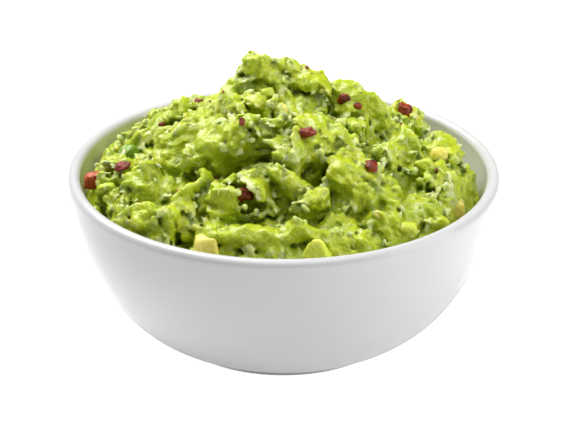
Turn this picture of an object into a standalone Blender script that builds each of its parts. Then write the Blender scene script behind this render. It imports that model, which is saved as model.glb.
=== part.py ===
"""Guacamole heaped in a white glazed bowl, with pieces of avocado, tomato and green pepper set in it.

Metres, +Z up. The origin is the middle of the bowl's foot, on the surface that it stands on.
The heap is one solid: spoonfuls laid over a rounded mound, drifted by noise so that no two are alike.
"""

import math

import bmesh
import bpy
import numpy as np
from mathutils import Matrix, Quaternion, Vector

# The bowl.
RIM_RADIUS = 0.075
BOWL_HEIGHT = 0.0605
WALL = 0.0044
LIP_RADIUS = 0.0023
BEAD_HEIGHT = 0.0030
BEAD_PROUD = 0.0002
FOOT_RADIUS = 0.0405
FOOT_HEIGHT = 0.0022
FOOT_WIDTH = 0.0040
RECESS_DEPTH = 0.0014
BASE_THICKNESS = 0.0052
WALL_SQUARENESS = 0.497   # power of the sine that gives the wall's radius
WALL_FULLNESS = 1.264     # power of the cosine that gives the wall's height
WALL_POLE = -0.00115      # height at which the wall's curve would close under the foot
FLOOR_RADIUS = 0.034      # the nearly flat middle of the inside
FLOOR_DISH = 0.0008
CHAMFER = 0.0010
WALL_BANDS = 7
LIP_BANDS = 4
TURN_STEPS = 56
WALL_HEIGHTS = (0.0085, 0.014, 0.022, 0.032, 0.043, 0.052)   # inside the bowl, foot to rim

# The heap. Heights are over the rim.
GAP = 0.0003
SUMMIT = (-0.008, 0.004)
SUMMIT_RISE = 0.0347
SUMMIT_ROUND = 0.006
SLOPE = 0.60
REACH = {"left": 0.68, "right": 1.15, "front": 1.06, "back": 0.85}   # how far the cone spreads each way
EDGE = 0.0605             # where the heap starts to drop off, and how much further out it does so each way
EDGE_MORE = {"left": 0.0060, "right": 0.0045, "front": 0.0075, "back": 0.0015}
EDGE_DROP = 0.017
EDGE_WIDTH = 0.010
BED_RISE = -0.0003
BED_MORE = {"left": 0.0075, "back": 0.0025}
CONE_SOFTNESS = 0.0025
BED_SINK = 0.0045         # how far the mound under the spoonfuls lies below its mean surface
DRIFTS = ((0.0150, 0.0030, 3), (0.0065, 0.0010, 6))   # size of the noise, how far it pushes, seed
SPOON_THICKNESS = 0.72    # of the spoonful's shorter half side
SPOON_MELT = 0.0010       # rounding where a spoonful meets the rest
HOLLOW_DEPTH = 0.0055     # half height of a hollow
HOLLOW_MELT = 0.0008
NEARBY = 0.006            # a spoonful or a hollow has no effect further out than this
GRID_CELLS = 42
FAN_CENTRE = Vector((0.0, 0.0, -0.045))
FAN_SPREAD = 1.14         # the outermost rays meet the heap's surface outside the bowl's inner wall

# Each spoonful: x, y, lift over the mean surface, half length, half width, turn in degrees.
SPOONFULS = {
    "crown": (-0.010, 0.004, 0.0070, 0.0060, 0.005, 0),
    "crown_left": (-0.019, 0.003, 0.0045, 0.007, 0.006, 30),
    "crown_right": (0.000, 0.007, 0.0040, 0.0060, 0.005, 0),
    "crown_hook": (0.010, 0.003, 0.0055, 0.0060, 0.005, -20),
    "scoop": (-0.013, -0.011, 0.003, 0.010, 0.006, 12),
    "shelf": (-0.015, -0.022, 0.0035, 0.016, 0.008, 4),
    "boulder": (0.011, -0.022, 0.0055, 0.0115, 0.0105, 20),
    "boulder_side": (0.023, -0.013, 0.002, 0.005, 0.008, -10),
    "shelf_tip": (0.001, -0.029, 0.003, 0.006, 0.006, 0),
    "left_shelf": (-0.029, -0.023, 0.003, 0.008, 0.005, 25),
    "curl": (0.001, -0.041, 0.003, 0.009, 0.004, -25),
    "middle_band": (-0.014, -0.042, 0.0005, 0.012, 0.006, 5),
    "slab": (0.025, -0.034, 0.0035, 0.017, 0.011, -35),
    "slab_peak": (0.032, -0.021, 0.005, 0.006, 0.005, 60),
    "slab_hook": (0.009, -0.047, 0.003, 0.007, 0.004, 30),
    "front_band": (-0.004, -0.059, 0.0022, 0.022, 0.0055, 2),
    "front_right": (0.022, -0.057, 0.000, 0.011, 0.007, 15),
    "slab_foot": (0.036, -0.045, 0.001, 0.010, 0.008, 30),
    "left_ridge": (-0.032, -0.043, 0.0035, 0.013, 0.0035, 62),
    "left_low": (-0.043, -0.046, 0.000, 0.012, 0.007, -40),
    "left_heap": (-0.047, -0.027, 0.002, 0.010, 0.009, 0),
    "left_middle": (-0.037, -0.008, 0.002, 0.011, 0.008, 10),
    "left_edge": (-0.058, -0.008, 0.0025, 0.006, 0.010, 0),
    "left_top": (-0.046, 0.015, 0.0045, 0.011, 0.009, 0),
    "left_back": (-0.036, 0.035, 0.000, 0.013, 0.009, 40),
    "right_top": (0.025, 0.007, 0.0045, 0.013, 0.009, -10),
    "right_middle": (0.042, -0.006, 0.002, 0.008, 0.009, 10),
    "right_heap": (0.052, -0.020, 0.002, 0.008, 0.009, 10),
    "right_low": (0.048, -0.037, 0.000, 0.008, 0.009, 40),
    "right_edge": (0.0560, 0.002, 0.0042, 0.0072, 0.010, 0),
    "right_back": (0.044, 0.022, 0.0032, 0.011, 0.009, -40),
    "back_middle": (0.005, 0.028, 0.001, 0.014, 0.009, 0),
    "back_left": (-0.016, 0.038, 0.000, 0.012, 0.008, 20),
    "back_low": (0.008, 0.052, 0.000, 0.016, 0.007, 0),
    "back_corner": (-0.026, 0.053, 0.000, 0.012, 0.007, 30),
    "back_right": (0.031, 0.048, 0.000, 0.011, 0.007, -30),
}

# Each hollow between spoonfuls: x, y, half length, half width, turn in degrees.
HOLLOWS = {
    "under_crown": (-0.008, -0.0178, 0.006, 0.0020, -5),
    "under_shelf": (-0.016, -0.0315, 0.015, 0.0024, 5),
    "under_boulder": (0.010, -0.0360, 0.009, 0.0018, 25),
    "front_groove": (-0.004, -0.0510, 0.019, 0.0024, 3),
    "left_pocket": (-0.031, -0.0550, 0.005, 0.0030, -20),
    "right_hollow": (0.032, -0.0125, 0.004, 0.0030, 0),
    "red_hollow": (-0.013, -0.0450, 0.003, 0.0025, 0),
    "left_gap": (-0.0645, -0.0245, 0.006, 0.0028, -70),
}

# Each large piece: what it is, x, y, length, width, height, turn in degrees, share of it that stands out.
PIECES = {
    "avocado_chunk_front": ("ripe_avocado", -0.0258, -0.0590, 0.0090, 0.0070, 0.0065, 25, 0.55),
    "avocado_chunk_right": ("ripe_avocado", 0.0600, -0.0252, 0.0070, 0.0060, 0.0060, -20, 0.55),
    "avocado_chunk_side": ("green_avocado", 0.0412, -0.0505, 0.0064, 0.0054, 0.0054, 10, 0.60),
    "avocado_tip_front": ("green_avocado", 0.0105, -0.0625, 0.0100, 0.0052, 0.0060, -15, 0.60),
    "avocado_lump_top": ("ripe_avocado", -0.0010, -0.0095, 0.0058, 0.0050, 0.0050, 0, 0.60),
    "avocado_lump_right": ("ripe_avocado", 0.0530, -0.0055, 0.0068, 0.0055, 0.0050, 10, 0.50),
    "tomato_dice_left": ("tomato", -0.0652, -0.0085, 0.0072, 0.0050, 0.0046, 10, 0.80),
    "tomato_piece_left": ("tomato", -0.0542, -0.0160, 0.0052, 0.0038, 0.0036, 10, 0.60),
    "tomato_piece_middle": ("tomato", 0.0070, -0.0270, 0.0058, 0.0042, 0.0036, -40, 0.60),
    "tomato_piece_hollow": ("tomato", -0.0134, -0.0436, 0.0050, 0.0042, 0.0038, 10, 0.60),
    "tomato_piece_slab": ("tomato", 0.0274, -0.0340, 0.0045, 0.0040, 0.0036, 0, 0.60),
    "tomato_piece_top": ("tomato", 0.0202, 0.0002, 0.0042, 0.0034, 0.0034, 30, 0.70),
    "tomato_piece_back": ("tomato", 0.0415, 0.0180, 0.0050, 0.0040, 0.0038, -15, 0.65),
    "pepper_strip_left": ("green_pepper", -0.0550, 0.0092, 0.0075, 0.0030, 0.0036, 40, 0.65),
    "pepper_strip_low": ("green_pepper", -0.0608, -0.0168, 0.0060, 0.0026, 0.0030, 40, 0.60),
}

LARGE_PIECE = 0.006       # a piece longer than this has rounder edges
PIECE_LEAN = 0.6          # 0 stands a piece upright, 1 lays it on the slope
PIECE_UNEVEN = 0.12       # how far a corner strays, as a share of the side
PIECE_ROUNDING = 0.26     # of the shortest side

# Colour, roughness and metallic value of each finish.
FINISHES = {
    "glaze": ((0.80, 0.80, 0.80, 1.0), 0.12, 0.0),
    "mash": ((0.31, 0.42, 0.04, 1.0), 0.42, 0.0),
    "ripe_avocado": ((0.74, 0.67, 0.20, 1.0), 0.45, 0.0),
    "green_avocado": ((0.40, 0.56, 0.06, 1.0), 0.45, 0.0),
    "tomato": ((0.50, 0.035, 0.02, 1.0), 0.25, 0.0),
    "green_pepper": ((0.06, 0.26, 0.03, 1.0), 0.25, 0.0),
}


def clear_scene():
    for item in list(bpy.data.objects):
        bpy.data.objects.remove(item, do_unlink=True)


def finish(name):
    """The material of one finish, made once."""
    material = bpy.data.materials.get(name)
    if material is None:
        material = bpy.data.materials.new(name)
        material.use_nodes = True
        colour, roughness, metallic = FINISHES[name]
        shader = material.node_tree.nodes["Principled BSDF"]
        shader.inputs["Base Color"].default_value = colour
        shader.inputs["Roughness"].default_value = roughness
        shader.inputs["Metallic"].default_value = metallic
    return material


def add_object(name, mesh, finish_name):
    thing = bpy.data.objects.new(name, mesh)
    bpy.context.scene.collection.objects.link(thing)
    mesh.materials.append(finish(finish_name))
    return thing


def make_helper(thing):
    """A cutter: it shapes other objects and isn't part of the model."""
    thing.hide_render = True
    thing.display_type = "WIRE"


# ---- the bowl ---------------------------------------------------------------------------------


def wall_point(angle):
    """A point of the outer wall's curve; the angle runs from 0 under the foot to a quarter turn at the rim."""
    radius = RIM_RADIUS * math.sin(angle) ** WALL_SQUARENESS
    height = BOWL_HEIGHT - (BOWL_HEIGHT - WALL_POLE) * math.cos(angle) ** WALL_FULLNESS
    return radius, height


def inner_radius(height):
    """The wall's curve solved for its radius at a height, less the wall's thickness."""
    cosine = ((BOWL_HEIGHT - height) / (BOWL_HEIGHT - WALL_POLE)) ** (1.0 / WALL_FULLNESS)
    return RIM_RADIUS * (1.0 - cosine * cosine) ** (WALL_SQUARENESS / 2) - WALL


def bowl_profile():
    """Radius and height of the bowl's section, from the middle of the recess round to the middle inside."""
    ring_inside = FOOT_RADIUS - FOOT_WIDTH
    section = [(0.0, RECESS_DEPTH), (ring_inside - CHAMFER, RECESS_DEPTH), (ring_inside, 0.0)]
    section += [(FOOT_RADIUS - CHAMFER, 0.0), (FOOT_RADIUS, FOOT_HEIGHT)]
    neck = BOWL_HEIGHT - LIP_RADIUS - BEAD_HEIGHT
    first = math.asin(((FOOT_RADIUS + CHAMFER) / RIM_RADIUS) ** (1.0 / WALL_SQUARENESS))
    last = math.acos(((BOWL_HEIGHT - neck) / (BOWL_HEIGHT - WALL_POLE)) ** (1.0 / WALL_FULLNESS))
    section += [wall_point(first + (last - first) * i / WALL_BANDS) for i in range(WALL_BANDS + 1)]
    neck_radius = section.pop()[0] - BEAD_PROUD
    section += [(neck_radius, neck), (RIM_RADIUS, neck + CHAMFER)]
    for i in range(LIP_BANDS + 1):
        turn = math.pi * i / LIP_BANDS
        radius = RIM_RADIUS - LIP_RADIUS + LIP_RADIUS * math.cos(turn)
        section.append((radius, BOWL_HEIGHT - LIP_RADIUS + LIP_RADIUS * math.sin(turn)))
    section += [(inner_radius(height), height) for height in reversed(WALL_HEIGHTS)]
    section += [(FLOOR_RADIUS, BASE_THICKNESS + FLOOR_DISH), (0.0, BASE_THICKNESS)]
    return section


def turned(name, section):
    """A closed mesh: the section turned once round Z, with both of its ends on the axis."""
    shape = bmesh.new()
    corners = [shape.verts.new((radius, 0.0, height)) for radius, height in section]
    edges = [shape.edges.new(pair) for pair in zip(corners, corners[1:])]
    once = {"cent": (0, 0, 0), "axis": (0, 0, 1), "angle": 2 * math.pi, "steps": TURN_STEPS}
    bmesh.ops.spin(shape, geom=corners + edges, use_merge=True, **once)
    bmesh.ops.remove_doubles(shape, verts=shape.verts[:], dist=1e-6)
    bmesh.ops.recalc_face_normals(shape, faces=shape.faces[:])
    mesh = bpy.data.meshes.new(name)
    shape.to_mesh(mesh)
    shape.free()
    mesh.shade_smooth()
    mesh.set_sharp_from_angle(angle=math.radians(40))
    return mesh


def make_bowl():
    return add_object("bowl", turned("bowl", bowl_profile()), "glaze")


# ---- the heap's form --------------------------------------------------------------------------


def eased(low, high, value):
    """0 below low, 1 above high, and a smooth step between."""
    share = np.clip((value - low) / (high - low), 0.0, 1.0)
    return share * share * (3.0 - 2.0 * share)


def scrambled(cell, seed):
    """A repeatable number from 0 to 1 for each whole-numbered cell."""
    mixed = (cell @ np.array((374761393, 668265263, 1442695041)) + seed * 1274126177) & 0xFFFFFFFF
    mixed = ((mixed ^ (mixed >> 13)) * 1274126177) & 0xFFFFFFFF
    mixed = ((mixed ^ (mixed >> 16)) * 2246822519) & 0xFFFFFFFF
    return ((mixed ^ (mixed >> 15)) & 0xFFFFFF) / float(0x1000000)


def noise(points, size, seed):
    """Gradient noise, about -1 to 1, whose features are as large as size."""
    scaled = points / size
    cell = np.floor(scaled).astype(np.int64)
    inside = scaled - cell
    blend = inside**3 * (inside * (inside * 6.0 - 15.0) + 10.0)
    total = np.zeros(len(points))
    for corner in np.ndindex(2, 2, 2):
        offset = np.array(corner)
        weight = np.where(offset == 1, blend, 1.0 - blend).prod(axis=1)
        x, y, z = (inside - offset).T
        pick = (scrambled(cell + offset, seed) * 12).astype(np.int64)
        first = np.where(pick < 8, x, y)
        second = np.where(pick < 4, y, z)
        total += weight * (np.where(pick & 1, first, -first) + np.where(pick & 2, second, -second))
    return total


def drift(points, size, seed):
    return np.stack([noise(points, size, seed + axis) for axis in range(3)], axis=1)


def mean_height(x, y):
    """Height of the mean surface: a rounded cone and the bed round it, which drops off near the wall."""
    across, along = x - SUMMIT[0], y - SUMMIT[1]
    across = across / np.where(across < 0, REACH["left"], REACH["right"])
    along = along / np.where(along < 0, REACH["front"], REACH["back"])
    run = np.sqrt(across**2 + along**2 + SUMMIT_ROUND**2) - SUMMIT_ROUND
    cone = SUMMIT_RISE - SLOPE * run
    out = np.hypot(x, y) + 1e-6
    side = {
        "left": eased(0.2, 0.9, -x / out),
        "right": eased(0.5, 0.95, x / out),
        "front": eased(0.3, 0.95, -y / out),
        "back": eased(0.2, 0.9, y / out),
    }
    bed = BED_RISE + BED_MORE["back"] * side["back"]
    bed = bed + BED_MORE["left"] * side["left"] * (1.0 - 0.6 * eased(0.6 * RIM_RADIUS, 0.88 * RIM_RADIUS, out))
    higher = np.maximum(cone, bed)
    joined = np.exp((cone - higher) / CONE_SOFTNESS) + np.exp((bed - higher) / CONE_SOFTNESS)
    edge = EDGE + sum(more * side[name] for name, more in EDGE_MORE.items())
    drop = EDGE_DROP * eased(edge - 0.3 * EDGE_WIDTH, edge + 0.7 * EDGE_WIDTH, out)
    return BOWL_HEIGHT + higher + CONE_SOFTNESS * np.log(joined) - drop


def place_on_slope(x, y, lift, turn):
    """A point lifted off the mean surface, and axes there whose third one leaves the surface."""
    step = 0.0005
    height = mean_height(np.array((x + step, x - step, x, x, x)), np.array((y, y, y + step, y - step, y)))
    normal = Vector((height[1] - height[0], height[3] - height[2], 2 * step)).normalized()
    along = (Vector((1, 0, 0)) - normal * normal.x).normalized()
    axes = Matrix((along, normal.cross(along), normal)).transposed()
    axes = axes @ Matrix.Rotation(math.radians(turn), 3, "Z")
    return Vector((x, y, height[4])) + normal * lift, axes


def distance_to_ellipsoid(points, centre, half, axes):
    local = (points - np.array(centre)) @ np.array(axes)
    near = np.sqrt(((local / half) ** 2).sum(axis=1))
    steep = np.sqrt(((local / half**2) ** 2).sum(axis=1)) + 1e-9
    return near * (near - 1.0) / steep


def melted(first, second, softness):
    """The smaller of two distances, rounded where they cross."""
    share = np.clip(0.5 + 0.5 * (second - first) / softness, 0.0, 1.0)
    return second * (1.0 - share) + first * share - softness * share * (1.0 - share)


def heap(points):
    """Distance to the heap's surface, about: negative inside, for points as rows."""
    points = points + sum(reach * drift(points, size, seed) for size, reach, seed in DRIFTS)
    x, y, z = points.T
    distance = (z - (mean_height(x, y) - BED_SINK)) * math.cos(math.atan(SLOPE))
    for across, along, lift, long, wide, turn in SPOONFULS.values():
        thick = SPOON_THICKNESS * min(long, wide) + SPOON_MELT
        top, axes = place_on_slope(across, along, lift, turn)
        centre = top - axes.col[2] * thick * SPOON_THICKNESS
        near = np.hypot(x - centre.x, y - centre.y) < long + wide + NEARBY
        hit = distance_to_ellipsoid(points[near], centre, np.array((long, wide, thick)), axes)
        distance[near] = melted(distance[near], hit, SPOON_MELT)
    for across, along, long, wide, turn in HOLLOWS.values():
        centre, axes = place_on_slope(across, along, -HOLLOW_DEPTH / 3, turn)
        near = np.hypot(x - centre.x, y - centre.y) < long + wide + NEARBY
        hit = distance_to_ellipsoid(points[near], centre, np.array((long, wide, HOLLOW_DEPTH)), axes)
        distance[near] = -melted(-distance[near], hit, HOLLOW_MELT)
    return distance


def first_hit(starts, ends, steps=56):
    """Where each line from a start outside the heap to an end inside it first meets the surface."""
    share = np.linspace(0.0, 1.0, steps)
    line = starts[:, None] + (ends - starts)[:, None] * share[None, :, None]
    distance = heap(line.reshape(-1, 3)).reshape(len(starts), steps)
    after = np.argmax(distance < 0.0, axis=1)
    rows = np.arange(len(starts))
    outer, inner = distance[rows, after - 1], distance[rows, after]
    cut = share[after - 1] + (share[1] - share[0]) * outer / (outer - inner)
    return starts + (ends - starts) * cut[:, None]


# ---- the heap's solid -------------------------------------------------------------------------


def disc(cells, radius):
    """A square grid of points pulled out into a disc, as rows of x and y."""
    line = np.linspace(-1.0, 1.0, cells + 1)
    u, v = (side.ravel() for side in np.meshgrid(line, line, indexing="ij"))
    reach = np.maximum(np.abs(u), np.abs(v))
    length = np.hypot(u, v) + 1e-9
    return np.stack((u, v), axis=1) * (reach / length * radius)[:, None]


def heap_surface():
    """The top of the heap on a grid whose lines fan out, through the rim's plane, from deep under the bowl."""
    flat = disc(GRID_CELLS, FAN_SPREAD * RIM_RADIUS)
    centre = np.array(FAN_CENTRE)
    rays = np.column_stack((flat, np.full(len(flat), BOWL_HEIGHT))) - centre
    return first_hit(centre + rays * 1.50, centre + rays * 0.55)


def make_cavity():
    """The room inside the bowl, a gap clear of its wall and open upwards: the heap is cut to it."""
    section = [(0.0, BASE_THICKNESS + GAP), (FLOOR_RADIUS, BASE_THICKNESS + FLOOR_DISH + GAP)]
    section += [(inner_radius(height) - GAP, height) for height in WALL_HEIGHTS]
    mouth = RIM_RADIUS - 2 * LIP_RADIUS - GAP
    section += [(mouth, BOWL_HEIGHT - LIP_RADIUS), (mouth, 2 * BOWL_HEIGHT), (0.0, 2 * BOWL_HEIGHT)]
    cavity = add_object("cavity", turned("cavity", section), "mash")
    make_helper(cavity)
    return cavity


def make_guacamole():
    points = heap_surface()
    side = GRID_CELLS + 1
    number = np.arange(side * side).reshape(side, side)
    corners = np.stack((number[:-1, :-1], number[1:, :-1], number[1:, 1:], number[:-1, 1:]), axis=-1)
    mesh = bpy.data.meshes.new("guacamole")
    mesh.from_pydata(points.tolist(), [], corners.reshape(-1, 4).tolist())
    shape = bmesh.new()
    shape.from_mesh(mesh)
    border = [edge for edge in shape.edges if edge.is_boundary]
    skirt = bmesh.ops.extrude_edge_only(shape, edges=border)["geom"]
    for corner in skirt:
        if isinstance(corner, bmesh.types.BMVert):
            corner.co.z = 0.0
    bmesh.ops.holes_fill(shape, edges=[edge for edge in shape.edges if edge.is_boundary])
    bmesh.ops.recalc_face_normals(shape, faces=shape.faces[:])
    shape.to_mesh(mesh)
    shape.free()
    mesh.shade_smooth()
    guacamole = add_object("guacamole", mesh, "mash")
    cut(guacamole, make_cavity(), "INTERSECT")
    return guacamole


def cut(thing, cutter, operation):
    boolean = thing.modifiers.new(cutter.name, "BOOLEAN")
    boolean.operation = operation
    boolean.object = cutter


# ---- the large pieces -------------------------------------------------------------------------


def cut_block(name, size, seed, spare):
    """A hand-cut block with rounded edges and slightly uneven corners, larger all round by spare."""
    rounds = 2 if max(size) > LARGE_PIECE else 1
    shape = bmesh.new()
    bmesh.ops.create_cube(shape, size=1.0)
    uneven = np.random.default_rng(seed).uniform(-PIECE_UNEVEN, PIECE_UNEVEN, (8, 3))
    for corner, shift in zip(shape.verts, uneven):
        corner.co += Vector(shift)
        corner.co = Vector(corner.co[axis] * (size[axis] + 2 * spare) for axis in range(3))
    rounding = PIECE_ROUNDING * min(size) + 0.6 * spare
    bmesh.ops.bevel(shape, geom=shape.edges[:], offset=rounding, segments=rounds, profile=0.5, affect="EDGES")
    bmesh.ops.recalc_face_normals(shape, faces=shape.faces[:])
    mesh = bpy.data.meshes.new(name)
    shape.to_mesh(mesh)
    shape.free()
    mesh.shade_smooth()
    mesh.set_sharp_from_angle(angle=math.radians(50))
    return mesh


def make_piece(name, row, seed, guacamole):
    """One large piece, sunk in the heap, and the pocket that holds it."""
    kind, x, y, long, wide, tall, turn, standing_out = row
    slope_point, axes = place_on_slope(x, y, 0.0, turn)
    axes = Quaternion().slerp(axes.to_quaternion(), PIECE_LEAN).to_matrix()
    normal = np.array(axes.col[2])
    start = np.array(slope_point)[None, :]
    top = first_hit(start + normal * 0.012, start - normal * 0.020)[0]
    place = Matrix.Translation(Vector(top + normal * tall * (standing_out - 0.5))) @ axes.to_4x4()
    size = (long, wide, tall)
    piece = add_object(name, cut_block(name, size, seed, 0.0), kind)
    pocket = add_object(name + ".pocket", cut_block(name + ".pocket", size, seed, GAP), "mash")
    make_helper(pocket)
    piece.matrix_world = place
    pocket.matrix_world = place
    cut(guacamole, pocket, "DIFFERENCE")
    return piece


def main():
    clear_scene()
    make_bowl()
    guacamole = make_guacamole()
    for seed, (name, row) in enumerate(PIECES.items()):
        make_piece(name, row, seed, guacamole)


main()
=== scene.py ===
# %% [markdown]
# # Guacamole heaped in a white bowl
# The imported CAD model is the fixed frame: it says where the bowl, the heap and each large piece are.
# Everything that shows is made here again, finer, around that frame. A smooth bowl is turned from its
# profile, the mash is the surface of a distance field, and the pieces and crumbs in it are small
# closed surfaces.

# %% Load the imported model
import math

import bpy
import numpy as np
from mathutils import Matrix, Quaternion, Vector


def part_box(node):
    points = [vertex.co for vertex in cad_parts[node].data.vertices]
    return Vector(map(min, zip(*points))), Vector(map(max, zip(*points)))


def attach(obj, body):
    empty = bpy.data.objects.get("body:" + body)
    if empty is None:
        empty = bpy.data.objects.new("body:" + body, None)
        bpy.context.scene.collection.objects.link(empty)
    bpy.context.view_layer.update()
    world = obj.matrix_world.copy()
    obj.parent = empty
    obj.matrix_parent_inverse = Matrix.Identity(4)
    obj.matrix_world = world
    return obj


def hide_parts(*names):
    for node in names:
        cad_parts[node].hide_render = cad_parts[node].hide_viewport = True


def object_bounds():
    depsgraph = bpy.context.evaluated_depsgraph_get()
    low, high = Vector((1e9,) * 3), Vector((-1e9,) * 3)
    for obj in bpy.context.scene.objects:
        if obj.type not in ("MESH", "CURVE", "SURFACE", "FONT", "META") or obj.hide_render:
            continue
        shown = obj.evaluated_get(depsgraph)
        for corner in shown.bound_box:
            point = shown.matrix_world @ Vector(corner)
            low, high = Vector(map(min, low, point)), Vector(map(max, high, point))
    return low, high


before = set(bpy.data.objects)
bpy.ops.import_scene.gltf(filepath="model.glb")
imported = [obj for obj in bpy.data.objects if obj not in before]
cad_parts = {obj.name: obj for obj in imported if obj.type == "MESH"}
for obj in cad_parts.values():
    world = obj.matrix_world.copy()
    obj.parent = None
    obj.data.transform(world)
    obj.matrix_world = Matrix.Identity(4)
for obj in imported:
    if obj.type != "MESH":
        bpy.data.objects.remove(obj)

CAD_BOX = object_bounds()
print("frame:", len(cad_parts), "nodes, box", [round(c, 4) for corner in CAD_BOX for c in corner])

# %% [markdown]
# ## Camera, light and floor
# The bowl is seen from a little above with a long lens, so that its rim is a flat oval. A large soft
# lamp stands behind it on the left, which gives the wet mash its silvery shine on the slopes that face
# it. A weaker lamp on the right keeps the near side of the bowl pale, and a wide one above reaches into
# the hollows of the heap.

# %% Camera
RIM_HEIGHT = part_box("bowl")[1].z
RIM_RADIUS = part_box("bowl")[1].x
CAMERA_RISE = math.radians(24.2)
CAMERA_DISTANCE = 0.9
CAMERA_BASE = 0.059  # the height over the floor that the camera's rise starts from
AIM = Vector((-0.0002, 0.0, 0.0403))


def look_at(thing, place, target):
    """Puts a lamp or a camera at a place, with its -Z axis towards the target and its Y axis up."""
    thing.location = place
    thing.rotation_euler = (target - Vector(place)).to_track_quat("-Z", "Y").to_euler()
    bpy.context.scene.collection.objects.link(thing)


lens = bpy.data.cameras.new("camera")
lens.lens = 164.8
lens.sensor_width = 36.0
camera = bpy.data.objects.new("camera", lens)
back = CAMERA_DISTANCE * math.cos(CAMERA_RISE)
look_at(camera, (0.0, -back, CAMERA_BASE + CAMERA_DISTANCE * math.sin(CAMERA_RISE)), AIM)
bpy.context.scene.camera = camera
bpy.context.scene.view_settings.view_transform = "Standard"
print("camera at", [round(c, 3) for c in camera.location])

# %% Lamps
LAMPS = {  # place, width, height, watts
    "key": ((-0.36, 0.40, 0.80), 0.65, 0.65, 12.0),
    "fill": ((0.80, -0.20, 0.40), 0.60, 0.60, 5.2),
    "top": ((0.0, -0.20, 1.10), 0.90, 0.90, 6.2),
}
WORLD_STRENGTH = 0.03
for name, (place, width, height, watts) in LAMPS.items():
    lamp = bpy.data.lights.new(name, "AREA")
    lamp.shape = "RECTANGLE"
    lamp.size = width
    lamp.size_y = height
    lamp.energy = watts
    look_at(bpy.data.objects.new(name, lamp), place, Vector((0.0, 0.0, RIM_HEIGHT)))
world = bpy.data.worlds.new("studio")
world.use_nodes = True
background = world.node_tree.nodes["Background"]
background.inputs["Color"].default_value = (1.0, 1.0, 1.0, 1.0)
background.inputs["Strength"].default_value = WORLD_STRENGTH
bpy.context.scene.world = world
print("lamps:", ", ".join(LAMPS))

# %% [markdown]
# ## From numbers to a mesh
# Every new piece is a surface worked out with numpy. Most are a grid of points, a function of two
# parameters, of which the second one often runs round and closes on itself. `grid_faces` joins such a
# grid with four-sided faces, and the two ends of the first parameter shrink to a pole.

# %% Grid to mesh
def grid_faces(rows, columns):
    """Quads of a grid whose columns run round: corner (i, j) joins (i, j+1), (i+1, j+1) and (i+1, j). They
    face outwards where the rows run upwards on the outside."""
    number = np.arange(rows * columns).reshape(rows, columns)
    beside = np.roll(number, -1, axis=1)
    return np.stack((number[:-1], beside[:-1], beside[1:], number[1:]), axis=-1).reshape(-1, 4)


def closed_grid(points):
    """Points (rows, columns, 3) and the faces that close them, with each end row as one pole point."""
    rows, columns = points.shape[:2]
    faces = grid_faces(rows, columns)
    flat = points.reshape(-1, 3)
    index = np.arange(rows * columns)
    index[:columns] = 0
    index[-columns:] = (rows - 1) * columns
    return flat, index[faces]


def add_mesh(name, points, faces, body="root"):
    """A smooth-shaded object at the origin. Corners of a face that fell together are left out."""
    used, renumbered = np.unique(faces, return_inverse=True)
    faces = renumbered.reshape(faces.shape)
    mesh = bpy.data.meshes.new(name)
    mesh.from_pydata(points[used].tolist(), [], [list(dict.fromkeys(face)) for face in faces.tolist()])
    mesh.validate()
    mesh.shade_smooth()
    thing = bpy.data.objects.new(name, mesh)
    bpy.context.scene.collection.objects.link(thing)
    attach(thing, body)
    print(f"{name}: {len(mesh.vertices)} points, {len(mesh.polygons)} faces")
    return thing


# %% Floor
def make_floor(half=3.0):
    """A square, flat and pale."""
    corners = np.array(((-half, -half, 0.0), (half, -half, 0.0), (half, half, 0.0), (-half, half, 0.0)))
    mesh = bpy.data.meshes.new("floor")
    mesh.from_pydata(corners.tolist(), [], [(0, 1, 2, 3)])
    floor = bpy.data.objects.new("floor", mesh)
    bpy.context.scene.collection.objects.link(floor)
    return floor


floor = make_floor()
print("floor: one square")

# %% [markdown]
# ## The bowl
# A thrown bowl is a turned shape, so its section is a curve of radius and height, carried round the
# axis. The outer wall is steep under the rim and flattens towards the foot. Powers of a sine and a
# cosine give that curve with four numbers, and the inner wall is the same curve less the thickness.

# %% The bowl's curve
WALL = 0.0044
WALL_SQUARENESS = 0.497
WALL_FULLNESS = 1.264
WALL_POLE = -0.00115
LIP_RADIUS = 0.0023
FOOT_RADIUS = 0.0405
FOOT_HEIGHT = 0.0022
FOOT_WIDTH = 0.0040
FLOOR_RADIUS = 0.034
BASE_THICKNESS = 0.0052
RECESS = 0.0014  # height of the hollow under the foot
NECK_DROP = 0.0034  # from the lip's middle down to where the bead starts
INSIDE_DROP = 0.0032  # from the rim down to where the inner wall starts
INSIDE_BEND = 0.0033  # from the inside's floor up to where the inner wall ends
AROUND = 256


def outer_radius(height):
    """Rim radius times (1 - c*c) to half the squareness, where c is the drop's share to 1 / fullness."""
    drop = np.clip((RIM_HEIGHT - height) / (RIM_HEIGHT - WALL_POLE), 0.0, 1.0)
    return RIM_RADIUS * (1.0 - drop ** (2.0 / WALL_FULLNESS)) ** (WALL_SQUARENESS / 2)


def inner_radius(height):
    """The outer wall's radius less the wall's thickness."""
    return outer_radius(height) - WALL


def arc(radius, height, size, first, last, steps):
    """Points (radius, height) on a circle's arc, from one angle in degrees to another."""
    turn = np.radians(np.linspace(first, last, steps))
    return np.stack((radius + size * np.cos(turn), height + size * np.sin(turn)), axis=1)


def smoothed(section, rounds):
    """Chaikin's rule: each corner is cut at a quarter of its two sides, a few times over."""
    for _ in range(rounds):
        ahead, behind = section[1:], section[:-1]
        cut = np.stack((0.75 * behind + 0.25 * ahead, 0.25 * behind + 0.75 * ahead), axis=1)
        section = np.concatenate((section[:1], cut.reshape(-1, 2), section[-1:]))
    return section


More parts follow.
